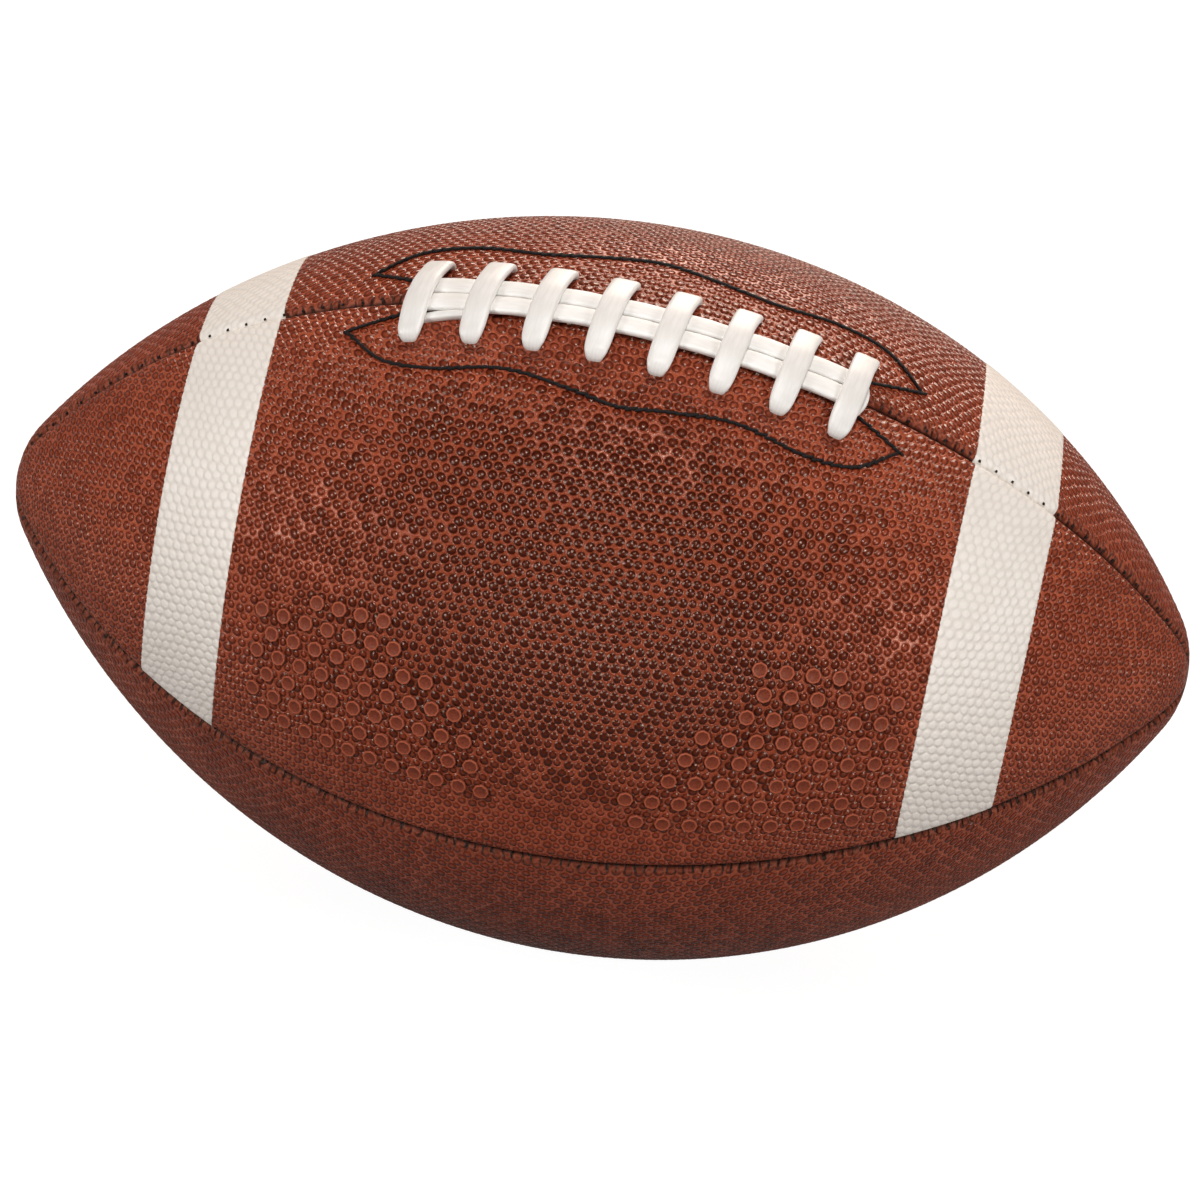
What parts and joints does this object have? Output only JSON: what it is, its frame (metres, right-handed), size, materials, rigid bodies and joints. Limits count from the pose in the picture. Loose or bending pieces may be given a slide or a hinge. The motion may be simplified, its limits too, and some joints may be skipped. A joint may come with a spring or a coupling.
{
  "type": "american football",
  "caption": "Prolate game ball of pebbled leather panels with white stripes, closed by a raised lace over a lined, inflated bladder with a needle valve",
  "frame": {"origin": "centre of the ball, half way along its long axis", "axes": "+X along the ball, +Z out through the middle of the laced seam, -Y towards the front panels"},
  "size_m": [0.2776, 0.1714, 0.1749],
  "materials": {
    "leather": "pebbled red-brown composite leather, satin",
    "stripe": "white paint over the pebbled leather",
    "lace": "smooth off-white vinyl lace, satin",
    "thread": "black waxed thread",
    "lining": "woven cotton lining",
    "facing": "leather backing patch",
    "guard": "smooth leather tongue",
    "bladder": "moulded rubber",
    "valve": "black moulded rubber"
  },
  "bodies": {
    "root": {"bladder": "bladder", "facing_back": "facing", "facing_front": "facing", "facing_stitch_back": "thread", "facing_stitch_front": "thread", "lace": "lace", "lace_guard": "guard", "lining_lower_back": "lining", "lining_lower_front": "lining", "lining_upper_back": "lining", "lining_upper_front": "lining", "panel_lower_back": "leather", "panel_lower_front": "leather", "panel_upper_back": "leather", "panel_upper_front": "leather", "seam_stitches_back": "thread", "seam_stitches_bottom": "thread", "seam_stitches_front": "thread", "seam_stitches_top_left": "thread", "seam_stitches_top_right": "thread", "stripe_back_left": "stripe", "stripe_back_right": "stripe", "stripe_front_left": "stripe", "stripe_front_right": "stripe", "valve_plug": "valve", "valve_seat": "valve"}
  },
  "joints": []
}
